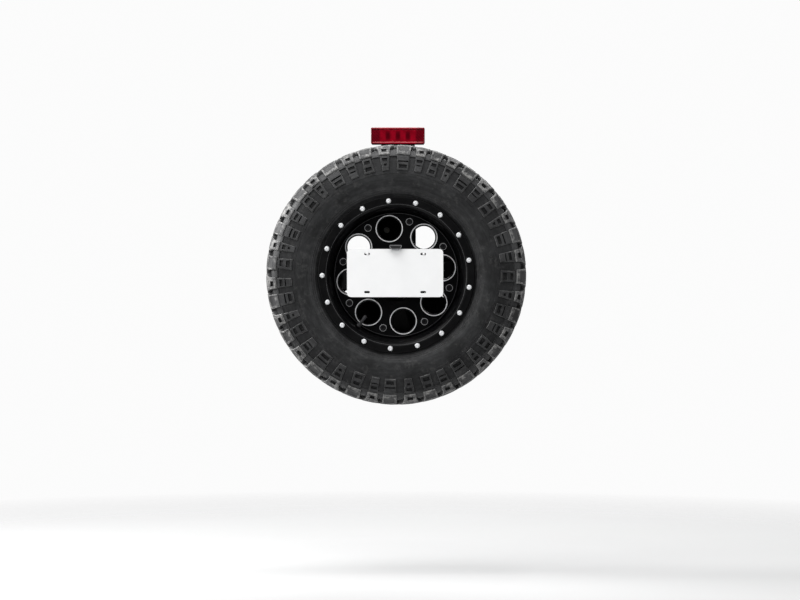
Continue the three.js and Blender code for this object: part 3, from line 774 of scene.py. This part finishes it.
def add_pitch(bm, pitch, kind, side):
    """One pitch of the pattern on half the tyre: centre block, shoulder block and side lug."""
    half = SHOULDER_HALF[kind]
    shoulder = [(-22.5, 98), (-14, 76), (24, 47), (31, 60), (22.5, 98)]
    shoulder += [(half + 0.6, T(393)), (half - 0.8, T(379))]
    shoulder += [(0.8 - half, T(379)), (-half - 0.6, T(393))]
    sipes = [
        ([(-9, 84), (8, 78), (8.8, 80), (-8.2, 86)], 5.0),
        ([(-8, 92), (14, 92), (14, 94), (-8, 94)], 5.0),
    ]
    if kind in "AC":
        face = (pocket(half - 5, 396, half - 5.5, 386.5), 1.2)
    else:
        face = (pocket(8, 391, 7, 384.5), 5.0)
    add_lug(bm, pitch, shoulder, shoulder_height, [face, *sipes], side, SHOULDER_TONE)

    centre = [(-14, 64), (-37.3, 37), (-37.3, 25), (-22, -26), (-16, -30), (8.6, 30), (8.6, 43)]
    notches = [
        ([(-28, 30), (-8, 36), (-8.6, 38), (-28.6, 32)], 7.0),
        ([(-22, -2), (-8, 6), (-9, 7.8), (-23, -0.2)], 7.0),
    ]
    add_lug(bm, pitch, centre, centre_height, notches, side, CENTRE_TONE)

    top, bottom, outlines = SIDE_LUGS[kind]
    recesses = [(outline, FULL_SHADE_DEPTH) for outline in outlines]
    lug = pocket(top, 377, bottom, 331)
    add_lug(bm, pitch, lug, side_lug_height, recesses, side, SIDE_LUG_TONE)
    if kind in "AB":
        tab = pocket(top - 4, 383, top - 3, 377.5)
        add_lug(bm, pitch, tab, side_lug_height, [], side, SIDE_LUG_TONE)


# ---- Wheel ----
def window_angle(i):
    return WINDOW_START + i * 360 / WINDOWS


def build_wheel():
    bm = bmesh.new()
    profile = rounded([
        (228, -70), (236, -70), (236, -76), (218.3, -79), (217, -100), (198, -118), (198, -170),
        (212, -205), (212, -284), (218.3, -292), (218.3, -303), (236, -306), (236, RIM_FRONT_Y),
        (224, RIM_FRONT_Y), (214, -304), (206, -280), (203, DISC_FRONT_Y - 1), (203, -206),
        (191, -172), (191, -116), (211, -100), (212, -77),
    ], 3.0)
    lathe(bm, profile, segments=192)
    piece("rim_barrel", bm, GLOSS, "wheel", ["wheel_barrel"])

    bm = bmesh.new()
    loops = [circle(0, 0, 195.6, 160), circle(0, 0, 84, 96)]
    for i in range(WINDOWS):
        loops.append(circle(*around(WINDOW_CIRCLE_R, window_angle(i)), WINDOW_LAND[1] + 0.4, 64))
        loops.append(circle(*around(FACE_BOLT_CIRCLE_R, window_angle(i + 0.5)), 7.5, 32))
    flat_piece(bm, loops, DISC_BACK_Y, DISC_BACK_Y - DISC_FRONT_Y, 1.0)
    piece("wheel_face", bm, GLOSS, "wheel", ["wheel_disc"])

    bm = bmesh.new()
    bead = rounded([(203.2, -246), (203.2, -262), (199, -266.5), (194, -266.5), (194, -246)], 2.0)
    lathe(bm, bead, segments=160)
    piece("disc_weld_bead", bm, GLOSS, "wheel", ["wheel_disc"])

    # Thin light lines at the weld bead and the clamp ring's inner edge, painted as highlights.
    bm = bmesh.new()
    for radius, y in ((196.4, -266.6), (RING_INNER_R + 0.9, RING_FRONT_Y + 2.6)):
        line = rounded([
            (radius - 0.7, y + 0.5), (radius + 0.7, y + 0.5), (radius + 0.7, y - 0.2),
            (radius - 0.7, y - 0.2),
        ], 0.3, 2)
        lathe(bm, line, segments=160)
    piece("dish_edge_highlights", bm, DISH_EDGE_HIGHLIGHT, "wheel", ["wheel_disc"])

    bm = bmesh.new()
    hub = rounded([
        (94, HUB_Y), (104, DISC_BACK_Y), (110, DISC_BACK_Y - 6), (110, DISC_FRONT_Y + 3),
        (86, DISC_FRONT_Y - 0.5), (82, DISC_FRONT_Y + 5), (80, HUB_FRONT_Y + 0.5),
        (78, HUB_FRONT_Y), (78, HUB_Y),
    ], 2.5)
    lathe(bm, hub, segments=128)
    pad = [circle(0, 0, 79.5, 128), circle(0, 0, 36, 64)]
    pad += [circle(*around(STUD_CIRCLE_R, 360 / LUG_HOLES * i), 8.6, 32) for i in range(LUG_HOLES)]
    flat_piece(bm, pad, HUB_Y - 0.2, HUB_Y - HUB_FRONT_Y - 0.4, 1.0)
    piece("hub_well", bm, GLOSS, "wheel", ["wheel_disc"])

    bm = bmesh.new()
    dark = bmesh.new()
    inner, outer = WINDOW_LAND
    for i in range(WINDOWS):
        centre = around(WINDOW_CIRCLE_R, window_angle(i))
        land = rounded([
            (outer + 0.3, DISC_FRONT_Y + 2), (outer, DISC_FRONT_Y - 0.8),
            (outer - 0.6, DISC_FRONT_Y - 1.2), (inner + 1.2, DISC_FRONT_Y - 1.1),
            (inner, DISC_FRONT_Y + 0.8), (inner, DISC_FRONT_Y + 2),
        ], 0.3, 2)
        lathe(bm, land, centre, 72)
        throat = rounded([
            (outer + 0.6, DISC_FRONT_Y + 1.6), (inner - 0.1, DISC_FRONT_Y + 1.4),
            (36.4, DISC_FRONT_Y + 7), (36.0, DISC_BACK_Y + 0.5), (outer + 0.6, DISC_BACK_Y + 0.5),
        ], 1.2, 2)
        lathe(dark, throat, centre, 72)
    piece("window_lands", bm, MACHINED, "wheel", ["wheel_disc"])
    piece("window_throats", dark, GLOSS, "wheel", ["wheel_disc"])


def build_ring():
    bm = bmesh.new()
    profile = rounded([
        (RING_INNER_R + 1.5, RIM_FRONT_Y - 0.3), (RING_OUTER_R - 1, RIM_FRONT_Y - 0.3),
        (RING_OUTER_R, RIM_FRONT_Y - 1.5), (RING_OUTER_R, RING_FRONT_Y + 3.5),
        (RING_OUTER_R - 3.5, RING_FRONT_Y), (RING_INNER_R + 4, RING_FRONT_Y),
        (RING_INNER_R, RING_FRONT_Y + 3.5),
    ], 1.2)
    lathe(bm, profile, segments=204)
    piece("clamp_ring", bm, RING_PAINT, "wheel", ["beadlock_ring"])

    for i in range(RING_BOLTS):
        bm = bmesh.new()
        centre = around(RING_BOLT_R, RING_BOLT_START + i * 360 / RING_BOLTS)
        y = RING_FRONT_Y - 0.3
        head = rounded([
            (0, y + 2), (8.1, y + 2), (8.1, y - 2.2), (6.2, y - 5.0), (3.0, y - 5.8),
            (2.0, y - 5.0), (0, y - 5.0),
        ], 0.8, 2, closed=False)
        lathe(bm, head, centre, 32)
        name = f"ring_bolt_{i + 1:02d}"
        piece(f"{name}_head", bm, ZINC, "wheel", [name])


def build_face_bolts():
    """Hollow-headed bolts with their washers, and a bright line round each washer."""
    y = DISC_FRONT_Y
    for i in range(WINDOWS):
        bm = bmesh.new()
        angle = window_angle(i + 0.5)
        centre = around(FACE_BOLT_CIRCLE_R, angle)
        head = rounded(hexagon(*centre, 9.4, 30 + angle), 1.6, 2)
        flat_piece(bm, [head, circle(*centre, 5.2, 32)], y - 0.2, 6.6, 0.9)
        cup = [(0, y - 2.5), (5.6, y - 2.5), (5.6, y - 0.4), (0, y - 0.4)]
        lathe(bm, cup, centre, 24)
        washer = rounded([(8, y - 0.1), (12.4, y - 0.1), (12.4, y - 1.6), (8, y - 1.6)], 0.5, 2)
        lathe(bm, washer, centre, 40)
        name = f"face_bolt_{i + 1}"
        piece(f"{name}_head", bm, BOLT_BLACK, "wheel", [name])

        bm = bmesh.new()
        rim = rounded([(11.2, y - 1.0), (11.2, y - 2.2), (9.9, y - 2.2), (9.9, y - 1.0)], 0.3, 2)
        lathe(bm, rim, centre, 40)
        piece(f"{name}_edges", bm, BOLT_EDGE, "wheel", [name])


def build_valve():
    """Both pieces are turned about the Y axis at the origin, then set leaning on the rim."""
    body, cap = bmesh.new(), bmesh.new()
    stem = [(0, 0), (8, 0), (8, 3), (6.2, 6), (5.2, 14), (4.6, 26), (4.6, 30), (0, 30)]
    lathe(body, rounded(stem, 1.5, 3, closed=False), segments=32)
    hat = [(0, 29), (5.2, 29), (5.4, 31), (5.4, 40), (4.4, 43), (0, 43)]
    lathe(cap, rounded(hat, 0.8, 2, closed=False), segments=32)
    x, z = around(VALVE_R, VALVE_ANGLE)
    inward = around(-1, VALVE_ANGLE)
    lean = Vector((inward[0], -0.35, inward[1])).normalized()
    turn = Vector((0, 1, 0)).rotation_difference(lean).to_matrix().to_4x4()
    stand = Matrix.Translation((x, VALVE_Y, z)) @ turn
    for bm in (body, cap):
        bmesh.ops.transform(bm, matrix=stand, verts=bm.verts)
    piece("valve_body", body, VALVE_RUBBER, "wheel", ["valve_stem"])
    piece("valve_cap", cap, VALVE_CAP, "wheel", ["valve_stem"])


# ---- Number plate ----
def plate_slots(width, height):
    cx, cz = PLATE_CENTRE
    across, up = PLATE_HOLES
    corners = [(-across, -up), (-across, up), (across, -up), (across, up)]
    return [rounded(rectangle(cx + a, cz + b, width, height), height / 2, 5) for a, b in corners]


def build_plate():
    bm = bmesh.new()
    outline = rounded(rectangle(*PLATE_CENTRE, *PLATE_SIZE), 15, 8)
    flat_piece(bm, [outline, *plate_slots(17.5, 7)], PLATE_FRONT_Y + 1.2, 1.2, 0.35)
    piece("plate_face", bm, PLATE, "plate_holder", ["number_plate"])

    for name, side in (("left", -1), ("right", 1)):
        bm = bmesh.new()
        cx, cz = PLATE_CENTRE
        centre = (cx + side * PLATE_HOLES[0] + PLATE_SCREW_SHIFT, cz + PLATE_HOLES[1])
        y = PLATE_FRONT_Y - 0.3
        head = rounded([
            (0, y + 8), (2.9, y + 8), (2.9, y), (3.8, y), (3.8, y - 1.0), (2.8, y - 2.2),
            (1.0, y - 2.6), (1.0, y - 1.8), (0, y - 1.8),
        ], 0.5, 2, closed=False)
        lathe(bm, head, centre, 32)
        screw = f"plate_screw_{name}"
        piece(f"{screw}_head", bm, SCREW, "plate_holder", [screw])


def build_plate_lamp():
    x = PLATE_LAMP_X
    front = PLATE_FRONT_Y - PLATE_LAMP_DEPTH
    bm = bmesh.new()
    hood = [
        (x - 13, 79.2), (x + 13, 79.2), (x + 19.5, 86.4), (x + 19.5, 92), (x + 17.6, 93.6),
        (x - 17.6, 93.6), (x - 19.5, 92), (x - 19.5, 86.4),
    ]
    flat_piece(bm, [rounded(hood, 2.2, 3)], PLATE_FRONT_Y - 0.6, PLATE_LAMP_DEPTH + 0.2, 1.0)
    box(bm, (x - 19, PLATE_FRONT_Y - 3, 82), (x + 19, PLATE_FRONT_Y + 1, 93.4), 0.8)
    head = [(0, front), (2.6, front), (2.6, front - 0.6), (0, front - 0.9)]
    for side in (-1, 1):
        lathe(bm, rounded(head, 0.2, 1, closed=False), (x + side * 9.5, 88), 20)
    piece("plate_lamp_hood", bm, LAMP_PLASTIC, "plate_holder", ["plate_lamp"])

    # A light rim round the hood's front, painted as its edge highlight.
    bm = bmesh.new()
    outer, inner = rounded(shrink(hood, 0.6), 2.0, 3), rounded(shrink(hood, 2.4), 1.4, 3)
    flat_piece(bm, [outer, inner], front - 0.1, 0.8, 0.25)
    piece("plate_lamp_rim_highlight", bm, HOOD_RIM_HIGHLIGHT, "plate_holder", ["plate_lamp"])

    bm = bmesh.new()
    box(bm, (x - 11, PLATE_FRONT_Y - 17, 76.5), (x + 11, PLATE_FRONT_Y - 4, 79.4), 0.8)
    piece("plate_lamp_window", bm, CLEAR, "plate_holder", ["plate_lamp_lens"])


# ---- High brake lamp ----
def build_lamp():
    x0, x1 = LAMP_X - LAMP_HALF_WIDTH, LAMP_X + LAMP_HALF_WIDTH
    z0, z1 = LAMP_Z
    middle = (z0 + z1) / 2

    bm = bmesh.new()
    face = rounded(rectangle((x0 + x1) / 2, middle, x1 - x0 - 5, z1 - z0 - 13), 3, 4)
    flat_piece(bm, [face], LENS_BACK_Y - 8, LENS_BACK_Y - 8 - LENS_FRONT_Y - 1.8, 1.2)
    outline = rounded(rectangle((x0 + x1) / 2, middle, x1 - x0, z1 - z0), 4, 4)
    hollow = rounded(rectangle((x0 + x1) / 2, middle, x1 - x0 - 8, z1 - z0 - 11), 3, 4)
    flat_piece(bm, [outline, hollow], LENS_BACK_Y, LENS_BACK_Y - LENS_FRONT_Y, 1.6)
    piece("lens_face", bm, RED, "lamp", ["lamp_lens"])

    # The lips at the lens's top and bottom; their light pink colour is a painted highlight.
    bm = bmesh.new()
    ledge = z0 + 5.4
    box(bm, (x0 + 5, LENS_FRONT_Y + 0.1, ledge - 1.5), (x1 - 5, LENS_FRONT_Y + 3, ledge + 0.7), 0.7)
    box(bm, (x0 + 4, LENS_FRONT_Y - 0.1, z1 - 2.9), (x1 - 4, LENS_FRONT_Y + 3, z1 - 1.5), 0.4)
    piece("lens_edge_highlights", bm, LENS_EDGE_HIGHLIGHT, "lamp", ["lamp_lens"])

    bm = bmesh.new()
    box(bm, (x0 + 2, LENS_BACK_Y + 0.3, z0 + 1), (x1 - 2, -11.6, z1 - 1), 2.5, 3)
    box(bm, (LAMP_X - 55, LENS_BACK_Y + 2, z0 - 8), (LAMP_X + 55, -14, z0 + 2), 1.5)
    piece("lamp_case", bm, LAMP_PLASTIC, "lamp", ["lamp_housing"])


# ---- Carrier ----
def build_base_plate():
    bm = bmesh.new()
    half = [
        (62, 168), (62, 92), (84, 74), (205, 62), (214, 50), (214, -70), (196, -150),
        (262, -216), (262, -248), (248, -262), (216, -262), (150, -206), (60, -214),
    ]
    outline = rounded([*half, *[(-x, z) for x, z in reversed(half)]], 9, 5)
    holes = [circle(*place, 5.6, 24) for place in TAILGATE_BOLTS]
    holes += [circle(*place, 4.6, 24) for place in MAST_BOLTS]
    for side in (-1, 1):
        holes.append(rounded(rectangle(side * 62, 36, 50, 34), 16.8, 8))
        holes.append(circle(side * 160, -60, 12, 40))
    recesses = [rounded(rectangle(*recess), 11, 6) for recess in PRESSED_RECESSES]
    flat_piece(bm, [outline, *holes, *recesses], 0, BASE_PLATE_T, 1.2)
    floor_t = BASE_PLATE_T - RECESS_DEPTH + 0.8
    for recess in recesses:
        flat_piece(bm, [shrink(recess, -1.5)], -RECESS_DEPTH, floor_t, 0.6)
    for x, z in BUMPERS:
        boss = rounded([(6, -1), (21, -1), (21, -8), (17, -20), (6, -20)], 1.5)
        lathe(bm, boss, (x, z), 48)
    piece("base_pressing", bm, TEXTURED, "carrier", ["base_plate"])


def build_bumpers():
    for name, (x, z) in zip(("left", "right"), BUMPERS):
        bm = bmesh.new()
        buffer = rounded([
            (0, -13), (5, -13), (5, -30), (21, -30), (22, -32), (22, -39), (18, -44), (0, -44),
        ], 2, 3, closed=False)
        lathe(bm, buffer, (x, z), 48)
        stop = f"bump_stop_{name}"
        piece(f"bumper_{name}", bm, BUFFER_RUBBER, stop, [stop])


def build_bolt(name, centre, head_r, washer_r, seat_y):
    """A hexagon bolt with its washer. The seat is the face that the washer lies on."""
    bm = bmesh.new()
    washer = rounded([
        (3, seat_y + 5), (3, seat_y - 0.2), (washer_r, seat_y - 0.2), (washer_r, seat_y - 2.2),
        (3, seat_y - 2.2),
    ], 0.4, 2)
    lathe(bm, washer, centre, 40)
    flat_piece(bm, [rounded(hexagon(*centre, head_r, 12), 1, 2)], seat_y - 2.2, 6.6, 0.9)
    piece(f"{name}_hex", bm, DULL_ZINC, "carrier", [name])


def build_stud(name, centre):
    """A wheel stud with its flange and thread."""
    bm = bmesh.new()
    flange = [(0, -167.7), (10, -167.7), (10, -174.7), (7, -174.7)]
    thread = [(7.0 if k % 2 else 6.2, -186.5 - 0.75 * k) for k in range(66)]
    end = [(4.6, -238), (0, -238)]
    lathe(bm, [*flange, *thread, *end], centre, 24)
    piece(f"{name}_thread", bm, DULL_ZINC, "carrier", [name], angle=60)


def build_lug_nut(name, centre):
    bm = bmesh.new()
    outline = rounded(hexagon(*centre, 11), 1.2, 2)
    flat_piece(bm, [outline, circle(*centre, 7.4, 32)], -209.9, 19, 0.7)
    piece(f"{name}_hex", bm, ZINC, name, [name])


def build_fasteners():
    for i, centre in enumerate(TAILGATE_BOLTS):
        build_bolt(f"tailgate_bolt_{i + 1}", centre, 8.7, 12.0, -6.3)
    for name, centre in zip(("left", "right"), MAST_BOLTS):
        build_bolt(f"mast_bolt_{name}", centre, 7.5, 10.0, -11.6)
    for i, angle in enumerate(STUD_ANGLES):
        centre = around(STUD_CIRCLE_R, angle)
        build_lug_nut(f"lug_nut_{i + 1}", centre)
        build_stud(f"wheel_stud_{i + 1}", centre)


def dress_cad_nodes():
    """Softens the edges of the CAD pieces that stay, and gives them their coating."""
    coats = {
        # The legs take the darker copy, as painted shade.
        "leg_left": LEG_SHADED_BLACK,
        "leg_right": LEG_SHADED_BLACK,
        "leg_bottom": LEG_SHADED_BLACK,
        "mounting_plate": TEXTURED,
        "lamp_mast": TEXTURED,
        "plate_bracket": TEXTURED,
        "plate_holder": TEXTURED,
        "lamp_reflector": REFLECTOR,
    }
    for name, material in coats.items():
        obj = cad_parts[name]
        for slot in obj.material_slots:
            slot.material = material
        bevel = obj.modifiers.new("edges", "BEVEL")
        bevel.width = 1.1 * MM
        bevel.segments = 2
        bevel.limit_method = "ANGLE"
        bevel.angle_limit = math.radians(35)
        bevel.harden_normals = False


# ---- Stage ----
def build_floor():
    """A pale disc, clear towards its edge, which the camera sees a little darker than it is lit."""
    bm = bmesh.new()
    bmesh.ops.create_circle(bm, cap_ends=True, segments=96, radius=FLOOR_RADIUS)
    mesh = bpy.data.meshes.new("floor")
    bm.to_mesh(mesh)
    bm.free()
    floor = bpy.data.objects.new("floor", mesh)
    floor.location.z = FLOOR_Z
    bpy.context.scene.collection.objects.link(floor)
    n = Nodes("floor_paint")
    x, y, _ = n.axes()
    fade = n.ramp(n.math("DIVIDE", n.distance(x, y), FLOOR_RADIUS), (0.22, 1.0), (0.8, 0.0))
    seen = n.add("ShaderNodeLightPath").outputs["Is Camera Ray"]
    color = n.mix(seen, (0.44, 0.44, 0.44), n.ramp(n.noise(0.8, 2), (0.3, 0.345), (0.7, 0.36)))
    n.finish(color, 0.7)
    clear = n.add("ShaderNodeBsdfTransparent")
    blend = n.add("ShaderNodeMixShader")
    n.link(fade, blend.inputs["Fac"])
    n.link(clear.outputs[0], blend.inputs[1])
    n.link(n.shader.outputs[0], blend.inputs[2])
    n.link(blend.outputs[0], n.tree.nodes["Material Output"].inputs["Surface"])
    mesh.materials.append(n.material)


def build_world():
    """A white backdrop that lights the pieces only a little."""
    world = bpy.data.worlds.new("studio")
    world.use_nodes = True
    bpy.context.scene.world = world
    tree = world.node_tree
    rays = tree.nodes.new("ShaderNodeLightPath")
    backdrop = tree.nodes["Background"]
    backdrop.inputs["Color"].default_value = (1, 1, 1, 1)
    backdrop.inputs["Strength"].default_value = 0.97
    surface = backdrop.outputs["Background"]
    for ray, strength in (("Is Diffuse Ray", 0.24), ("Is Glossy Ray", 0.03)):
        light = tree.nodes.new("ShaderNodeBackground")
        light.inputs["Color"].default_value = (0.95, 0.97, 1, 1)
        light.inputs["Strength"].default_value = strength
        choose = tree.nodes.new("ShaderNodeMixShader")
        tree.links.new(rays.outputs[ray], choose.inputs["Fac"])
        tree.links.new(surface, choose.inputs[1])
        tree.links.new(light.outputs["Background"], choose.inputs[2])
        surface = choose.outputs["Shader"]
    tree.links.new(surface, tree.nodes["World Output"].inputs["Surface"])


def build_lights():
    for name, place, target, size, power in LIGHTS:
        data = bpy.data.lights.new(name, "AREA")
        data.shape = "RECTANGLE"
        data.size, data.size_y = size
        data.energy = power
        light = bpy.data.objects.new(name, data)
        light.location = place
        aim = Vector(target) - Vector(place)
        light.rotation_euler = aim.to_track_quat("-Z", "Y").to_euler()
        bpy.context.scene.collection.objects.link(light)


def build_camera():
    """Straight behind the wheel, 8 m from the number plate and a little below the wheel's axis."""
    data = bpy.data.cameras.new("camera")
    data.sensor_width = 36
    data.lens = 113.74
    camera = bpy.data.objects.new("camera", data)
    camera.location = (0.012, PLATE_FRONT_Y * MM - 8.0, -0.0804)
    camera.rotation_euler = (math.pi / 2, 0, 0)
    bpy.context.scene.collection.objects.link(camera)
    bpy.context.scene.camera = camera


bpy.context.scene.view_settings.view_transform = "Standard"
build_camera()
build_floor()
build_world()
build_lights()
build_tyre()
build_wheel()
build_ring()
build_face_bolts()
build_valve()
build_plate()
build_plate_lamp()
build_lamp()
build_base_plate()
build_bumpers()
build_fasteners()
dress_cad_nodes()
